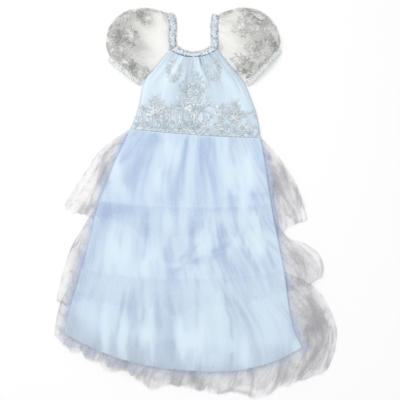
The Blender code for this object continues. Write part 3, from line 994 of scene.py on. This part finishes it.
def lower_wall(panel):
    def shape(u, v, x, y):
        return Vector((x, y, FOLD_HEIGHT + (LOWER_WALL - FOLD_HEIGHT) * edge_blend(u))), 0.05, 0.0

    return shape


def weld(name, upper, lower):
    """Joins two walls into one tube, with the lower one facing down."""
    keep_only(lower)
    bpy.ops.object.mode_set(mode="EDIT")
    bpy.ops.mesh.select_all(action="SELECT")
    bpy.ops.mesh.flip_normals()
    bpy.ops.object.mode_set(mode="OBJECT")
    keep_only(upper)
    lower.select_set(True)
    bpy.ops.object.join()
    bpy.ops.object.mode_set(mode="EDIT")
    bpy.ops.mesh.select_all(action="SELECT")
    bpy.ops.mesh.remove_doubles(threshold=MERGE)
    bpy.ops.object.mode_set(mode="OBJECT")
    upper.name = name
    upper.data.name = name
    return upper


def sew_sleeve(side, seed):
    node = f"sleeve_{side}"
    panel = Panel(node, SLEEVE_CORNERS[side], UPPER_FACE, UNDERARM)
    upper = lay_cloth("upper", panel, 130, 110, upper_wall(panel, seed), sleeve_net)
    lower = lay_cloth("lower", panel, 130, 110, lower_wall(panel), sleeve_net)
    sleeve = weld(f"puff_sleeve_{side}", upper, lower)
    belongs(sleeve, "embroidered_net", node)
    return sleeve, panel


def sew_cuff(side, seed):
    node = f"cuff_{side}"
    panel = Panel(node, CUFF_CORNERS[side], UPPER_FACE)

    def upper_shape(u, v, x, y):
        pucker = 1.6 * MM * ridge(22 * u, 2 * v, seed) * edge_blend(u)
        height = (panel.face.height(x, y) - FOLD_HEIGHT) * edge_blend(u) + pucker
        # The shade attribute paints shade in patches between the puckers
        return Vector((x, y, FOLD_HEIGHT + height)), 0.0, within(1.4 * soft(30 * u, 3 * v, seed))

    upper = lay_cloth("upper", panel, 110, 10, upper_shape, cuff_satin)
    lower = lay_cloth("lower", panel, 110, 10, lower_wall(panel), cuff_satin)
    cuff = weld(f"cuff_band_{side}", upper, lower)
    belongs(cuff, "neck_satin", node)
    return cuff, panel


sleeves, sleeve_panels, cuffs, cuff_panels = {}, {}, {}, {}
for side, seed in (("left", 2.3), ("right", 8.9)):
    sleeves[side], sleeve_panels[side] = sew_sleeve(side, seed)
    cuffs[side], cuff_panels[side] = sew_cuff(side, seed)

# %% [markdown]
# Machine embroidery is made of a few stitched shapes used over and over: a leaf, a petal and a short
# stitch that builds stems. Each is modelled once from a grid primitive, domed so that it catches the
# light, and then copied along vines. The layout is an ordinary one of scrolls, leaves and five-petalled
# flowers.


# %% Model the stitched shapes
def stitched_shape(name, columns, rows, belly, dome, notch, bend=0.0):
    """A flat leaf one unit long and one wide, domed, with a groove down its middle if it has a notch."""
    bpy.ops.object.select_all(action="DESELECT")
    bpy.ops.mesh.primitive_grid_add(x_subdivisions=columns, y_subdivisions=rows, size=1)
    shape = bpy.context.object
    shape.name = name
    edges = shape.data.attributes.new("shade", "FLOAT", "POINT")
    for point, edge in zip(shape.data.vertices, edges.data):
        along, across = point.co.x + 0.5, 2 * point.co.y
        width = max(math.sin(math.pi * along**belly), 0) ** 0.8
        height = dome * width * (1 - across**2) - notch * width * (1 - abs(across))
        point.co = (along, 0.5 * across * width + bend * math.sin(math.pi * along), height)
        edge.value = abs(across) ** 3
    keep_only(shape)
    bpy.ops.object.mode_set(mode="EDIT")
    bpy.ops.mesh.select_all(action="SELECT")
    bpy.ops.mesh.remove_doubles(threshold=1e-4)
    bpy.ops.object.mode_set(mode="OBJECT")
    mesh = shape.data
    bpy.data.objects.remove(shape)
    return mesh


SHAPES = {
    "leaf": stitched_shape("leaf", 6, 4, 0.8, 0.20, 0.14),
    "left_comma": stitched_shape("left_comma", 6, 4, 0.7, 0.22, 0.1, 0.7),
    "right_comma": stitched_shape("right_comma", 6, 4, 0.7, 0.22, 0.1, -0.7),
    "petal": stitched_shape("petal", 4, 2, 1.6, 0.25, 0.0),
    "stitch": stitched_shape("stitch", 3, 2, 1.0, 0.45, 0.0),
}
print({name: len(mesh.polygons) for name, mesh in SHAPES.items()}, "faces a shape")


# %% [markdown]
# A vine is drawn the way it grows: it takes a step, turns a little more each time so that it curls, sets
# a leaf on alternate sides, and ends in a flower or a bud. What it draws is only a list of places; the
# next cell sews them.


# %% Draw vines
class Drawing:
    """Places for stitched shapes in the plane of the cloth, in metres."""

    def __init__(self, seed):
        self.marks = []
        self.chance = random.Random(seed)

    def mark(self, shape, spot, angle, length, width):
        self.marks.append((shape, spot[0], spot[1], angle, length, width))

    def flower(self, spot, radius, petals=5, turn=0.0):
        """Petals round a middle of small stitches."""
        for k in range(petals):
            angle = turn + 2 * math.pi * k / petals
            start = (spot[0] + 0.2 * radius * math.cos(angle), spot[1] + 0.2 * radius * math.sin(angle))
            self.mark("petal", start, angle, 0.85 * radius, 0.62 * radius)
            self.mark("stitch", spot, angle + math.pi / petals, 0.42 * radius, 0.14 * radius)

    def scroll(self, spot, angle, length, curl, width, mirror=1):
        """A stem that curls up and ends in a round bud, with curved leaves along its outer side."""
        step = 2.6 * MM
        count = max(round(length / step), 3)
        outer = -1 if mirror * curl > 0 else 1
        comma = "left_comma" if outer > 0 else "right_comma"
        x, y = spot
        for k in range(count):
            share = k / count
            angle += mirror * curl * (0.25 + 1.5 * share) / count
            self.mark("stitch", (x, y), angle, 1.7 * step, 0.55 * width * (1.2 - 0.7 * share))
            if k % 4 == 1:
                size = 3.0 * width * (1.1 - 0.6 * share) * self.chance.uniform(0.85, 1.15)
                self.mark(comma, (x, y), angle + outer * 0.55, size, 0.38 * size)
            x += step * math.cos(angle)
            y += step * math.sin(angle)
        self.flower((x, y), 0.95 * width, 4, angle)
        return x, y

    def spray(self, spot, angle, length, curl, leaf, mirror=1):
        """A slender stem with leaves in pairs that shrink towards its tip."""
        gap = 0.92 * leaf
        count = max(round(length / gap), 2)
        x, y = spot
        for k in range(count):
            share = k / count
            angle += mirror * curl / count
            size = leaf * (1 - 0.4 * share) * self.chance.uniform(0.85, 1.15)
            for way in (-1, 1):
                lean = way * self.chance.uniform(0.7, 1.0)
                self.mark("leaf", (x, y), angle + lean, size, 0.36 * size)
            self.mark("stitch", (x, y), angle, 1.2 * gap, 0.9 * MM)
            x += gap * math.cos(angle)
            y += gap * math.sin(angle)
        self.mark("leaf", (x, y), angle, 0.7 * leaf, 0.28 * leaf)
        return x, y

    def bouquet(self, spot, angle, radius, mirror=1):
        """A flower between two scrolls, with leaves fanned out behind it."""
        for lean in (-1.5, -0.9, -0.35, 0.25, 0.85, 1.45):
            length = radius * self.chance.uniform(0.85, 1.2)
            self.mark("leaf", spot, angle + lean, length, 0.34 * length)
        self.scroll(spot, angle + 1.2, 1.7 * radius, -3.6, 0.2 * radius, mirror)
        self.scroll(spot, angle - 1.2, 1.7 * radius, 3.6, 0.2 * radius, mirror)
        self.flower(spot, 0.55 * radius, 5, angle)

    def mirrored(self, axis_x, draw):
        """Draws a motif and its mirror image about a line up the cloth."""
        for mirror in (1, -1):
            draw(
                lambda x: axis_x + mirror * x,
                lambda angle: angle if mirror == 1 else math.pi - angle,
                mirror,
            )


# %% [markdown]
# To sew a drawing on, every copy of a shape is dropped straight down on the finished cloth, point by
# point, so a leaf bends over the folds under it. All copies then become one mesh, which keeps the dress
# light.


# %% Sew a drawing on a cloth
THREAD_RAISE = 0.35 * MM


def surface_of(cloth):
    """A tree for finding the cloth under a place."""
    shape = bmesh.new()
    shape.from_mesh(cloth.data)
    tree = BVHTree.FromBMesh(shape)
    shape.free()
    return tree


def sew(name, drawing, cloth, material, slot):
    tree = surface_of(cloth)
    down = Vector((0, 0, -1))
    joined = bmesh.new()
    stitch_uv = joined.loops.layers.uv.new("UVMap")
    edge_shade = joined.verts.layers.float.new("shade")
    kept = 0
    for shape, x, y, angle, length, width in drawing.marks:
        turn = Matrix.Translation((x, y, 0)) @ Matrix.Rotation(angle, 4, "Z")
        mesh = SHAPES[shape]
        spots = [turn @ Vector((p.co.x * length, p.co.y * width, 0)) for p in mesh.vertices]
        hits = [tree.ray_cast(Vector((s.x, s.y, 1)), down)[0] for s in spots]
        if None in hits:
            continue
        kept += 1
        raised = [hit.z + THREAD_RAISE + p.co.z * width for hit, p in zip(hits, mesh.vertices)]
        points = [joined.verts.new((s.x, s.y, z)) for s, z in zip(spots, raised)]
        for point, edge in zip(points, mesh.attributes["shade"].data):
            point[edge_shade] = edge.value
        for polygon in mesh.polygons:
            face = joined.faces.new([points[k] for k in polygon.vertices])
            face.smooth = True
            for loop, k in zip(face.loops, polygon.vertices):
                loop[stitch_uv].uv = (mesh.vertices[k].co.x * length / MM / 4, mesh.vertices[k].co.y)
    mesh = bpy.data.meshes.new(name)
    joined.to_mesh(mesh)
    joined.free()
    mesh.materials.append(material)
    piece = bpy.data.objects.new(name, mesh)
    bpy.context.scene.collection.objects.link(piece)
    belongs(piece, slot)
    print("   sewn with", kept, "of", len(drawing.marks), "marks")
    return piece


# %% [markdown]
# The bodice's embroidery grows up from the waist: a border of small flowers and arches, a tall motif in
# the middle with scrolls on both sides, and a shorter bouquet over each side. A light garland hangs from
# each end of the neck.

# %% Embroider the bodice
WAIST_LEFT = (-0.162, 0.180)
WAIST_RIGHT = (0.161, 0.158)


def waist_height(x):
    """The waist seam's height in the picture plane at a place across."""
    share = (x - WAIST_LEFT[0]) / (WAIST_RIGHT[0] - WAIST_LEFT[0])
    return WAIST_LEFT[1] + share * (WAIST_RIGHT[1] - WAIST_LEFT[1]) - 4 * MM


UP = math.pi / 2


def draw_centre(drawing, middle, base):
    """A tall motif: paired scrolls round a column of flowers, with leaf sprays that reach for the neck."""

    def half(across, turned, mirror):
        drawing.scroll((across(0.006), base - 0.004), turned(UP - 1.0), 0.076, 3.0, 0.0054, mirror)
        drawing.scroll((across(0.008), base + 0.020), turned(UP - 0.3), 0.090, -3.2, 0.0052, mirror)
        drawing.scroll((across(0.006), base + 0.060), turned(UP - 0.7), 0.066, 2.8, 0.0046, mirror)
        drawing.scroll((across(0.014), base + 0.040), turned(UP - 1.3), 0.046, -2.8, 0.0040, mirror)
        drawing.spray((across(0.034), base + 0.056), turned(UP - 0.35), 0.050, 1.2, 0.014, mirror)
        drawing.spray((across(0.056), base + 0.030), turned(UP + 0.10), 0.046, -1.3, 0.015, mirror)
        drawing.spray((across(0.070), base + 0.016), turned(UP - 0.90), 0.040, 1.6, 0.014, mirror)
        drawing.spray((across(0.014), base + 0.096), turned(UP - 0.60), 0.042, 1.3, 0.013, mirror)
        drawing.scroll((across(0.018), base + 0.086), turned(UP - 1.2), 0.040, 2.8, 0.0034, mirror)

    drawing.mirrored(middle, half)
    drawing.spray((middle, base + 0.094), UP, 0.060, 0.0, 0.012)
    for height, radius in ((0.012, 0.014), (0.046, 0.015), (0.080, 0.013)):
        drawing.flower((middle, base + height), radius, 6, 0.3)


def draw_side(drawing, middle, base, mirror):
    """A side motif: a bouquet with sprays that lean outwards."""
    drawing.bouquet((middle, base + 0.030), UP - 0.2 * mirror, 0.022, mirror)
    drawing.spray((middle + mirror * 0.010, base + 0.044), UP - 0.60 * mirror, 0.044, 1.5 * mirror, 0.015)
    drawing.spray((middle - mirror * 0.012, base + 0.042), UP + 0.70 * mirror, 0.044, -1.6 * mirror, 0.014)
    drawing.spray((middle, base + 0.050), UP + 0.1 * mirror, 0.030, -0.6 * mirror, 0.015)
    drawing.scroll((middle + mirror * 0.016, base + 0.004), UP - 1.0 * mirror, 0.062, 3.0 * mirror, 0.0048)
    drawing.scroll((middle - mirror * 0.020, base + 0.006), UP + 0.8 * mirror, 0.060, -3.0 * mirror, 0.0048)
    drawing.scroll((middle + mirror * 0.024, base + 0.034), UP - 0.5 * mirror, 0.040, -2.6 * mirror, 0.0036)
    drawing.scroll((middle - mirror * 0.028, base + 0.030), UP + 0.4 * mirror, 0.040, 2.6 * mirror, 0.0036)


def draw_raglan(drawing, top, mirror):
    """A light garland that hangs from the neck along a raglan seam."""
    end = drawing.scroll(top, -UP - 0.7 * mirror, 0.052, 1.8 * mirror, 0.0034)
    drawing.spray(top, -UP - 1.1 * mirror, 0.050, 1.4 * mirror, 0.012)
    drawing.flower(end, 0.009, 5, 0.4)
    drawing.spray((top[0] + 0.014 * mirror, top[1] - 0.012), -UP + 0.3 * mirror, 0.040, -1.0 * mirror, 0.012)


def draw_waist_border(drawing):
    """Arches with a flower in each, all along the waist."""
    pitch = 35 * MM
    count = round((WAIST_RIGHT[0] - WAIST_LEFT[0]) / pitch)
    for k in range(count):
        x = WAIST_LEFT[0] + (k + 0.5) * pitch
        base = waist_height(x)
        drawing.flower((x, base + 0.013), 0.0105, 5, k)
        for way in (-1, 1):
            drawing.scroll((x + way * 0.002, base + 0.001), UP - way * 1.45, 0.038, way * 2.5, 0.0042)
            drawing.mark("leaf", (x + way * 0.006, base + 0.024), UP - way * 0.7, 0.013, 0.0050)
        drawing.mark("leaf", (x, base + 0.025), UP, 0.014, 0.0054)


bodice_drawing = Drawing(5)
draw_waist_border(bodice_drawing)
draw_centre(bodice_drawing, -0.006, waist_height(-0.006) + 0.018)
for middle, mirror in ((-0.100, -1), (0.096, 1)):
    draw_side(bodice_drawing, middle, waist_height(middle) + 0.014, mirror)
for top, mirror in (((-0.052, 0.352), 1), ((0.044, 0.352), -1)):
    draw_raglan(bodice_drawing, top, mirror)
bodice_embroidery = sew("bodice_embroidery", bodice_drawing, bodice_net, silver_thread, "embroidered_net")

# %% [markdown]
# On the sleeves the same bouquets, sprays and scrolls are scattered from the armhole to the cuff, except
# where the net is bare. Their places are shares of the sleeve's own width and length, so they follow its
# shape, and a broken row of stitches runs down the outer fold.

# %% Embroider the sleeves
# Where the motifs start, as shares across and down a sleeve
MOTIFS_ACROSS = (0.18, 0.34, 0.50, 0.66, 0.80, 0.92)
MOTIFS_DOWN = (0.08, 0.28, 0.48, 0.68, 0.88)
SEAM_STITCHES = 60


def draw_sleeve(panel, side, seed):
    drawing = Drawing(seed)
    mirror = 1 if side == "left" else -1
    chance = drawing.chance
    for step in range(SEAM_STITCHES):
        v = 0.06 + 0.015 * step
        ahead = panel.place(0.975, v + 0.01) - panel.place(0.975, v)
        if chance.random() < 0.7:
            lean = math.atan2(ahead.y, ahead.x) + chance.uniform(-0.35, 0.35)
            drawing.mark("stitch", panel.place(chance.uniform(0.95, 0.985), v), lean, 0.007, 0.0017)
    for u in MOTIFS_ACROSS:
        for v in MOTIFS_DOWN:
            across = within(u + chance.uniform(-0.05, 0.05))
            spot = panel.place(across, within(v + chance.uniform(-0.06, 0.06)))
            if bare_at(*spot) > 0.4:
                continue
            ahead = panel.place(u, v + 0.02) - panel.place(u, v)
            heading = math.atan2(ahead.y, ahead.x) + chance.uniform(-1.3, 1.3)
            kind = chance.choice(("bouquet", "spray", "scroll", "spray"))
            if kind == "bouquet":
                drawing.bouquet(spot, heading, chance.uniform(0.018, 0.025), mirror)
            elif kind == "spray":
                drawing.spray(spot, heading, chance.uniform(0.034, 0.048), chance.uniform(-1.4, 1.4), 0.016)
            else:
                length = chance.uniform(0.044, 0.062)
                drawing.scroll(spot, heading, length, chance.choice((-3.4, 3.4)), 0.0060)
    return drawing


for side, seed in (("left", 21), ("right", 34)):
    drawing = draw_sleeve(sleeve_panels[side], side, seed)
    name = f"sleeve_embroidery_{side}"
    sew(name, drawing, sleeves[side], sleeve_thread, "embroidered_net")

# %% [markdown]
# The flat size of every cloth's cut is worked out and printed, with the share of it that the laid cloth
# covers, so that anyone can check that the laid cloth was neither stretched nor shrunk. A gathered tier's
# cut is wider than the tier as it lies, and a tube's cut goes all the way round.

EASE = 1.02
PLAIN = 1.03
BODICE_GATHERS = 1.08
RUCHED = 1.15
GATHERED = 1.2


def piece_area(piece):
    """The area of a piece's faces, in square metres."""
    return sum(polygon.area for polygon in piece.data.polygons)


def declare(piece, panel, fullness=PLAIN, layers=1):
    """States a sheet's cut: the panel's own area and sides, times the fullness that is gathered into it."""
    wide = max(panel.hem.length, panel.top.length, panel.area / panel.length) * fullness * layers
    long = panel.length * EASE
    area = panel.area * fullness * layers
    share = piece_area(piece) / area
    size = [round(1000 * side) for side in (wide, long)]
    print(piece.name, "is cut from", size, "mm, share", round(share, 2))


declare(skirt_back, back_panel)
declare(skirt_front, skirt_panel)
declare(bodice_back, bodice_back_panel)
declare(bodice_front, bodice_panel, BODICE_GATHERS)
declare(bodice_net, overlay_panel, BODICE_GATHERS, 1)
for node, cloth in tulle_cloths.items():
    declare(cloth, tulle_panels[node], GATHERED)
for band, panel in bands:
    declare(band, panel, RUCHED)
for side in ("left", "right"):
    sleeve, cuff = sleeves[side], cuffs[side]
    declare(sleeve, sleeve_panels[side], GATHERED, 2)
    declare(cuff, cuff_panels[side], GATHERED, 2)
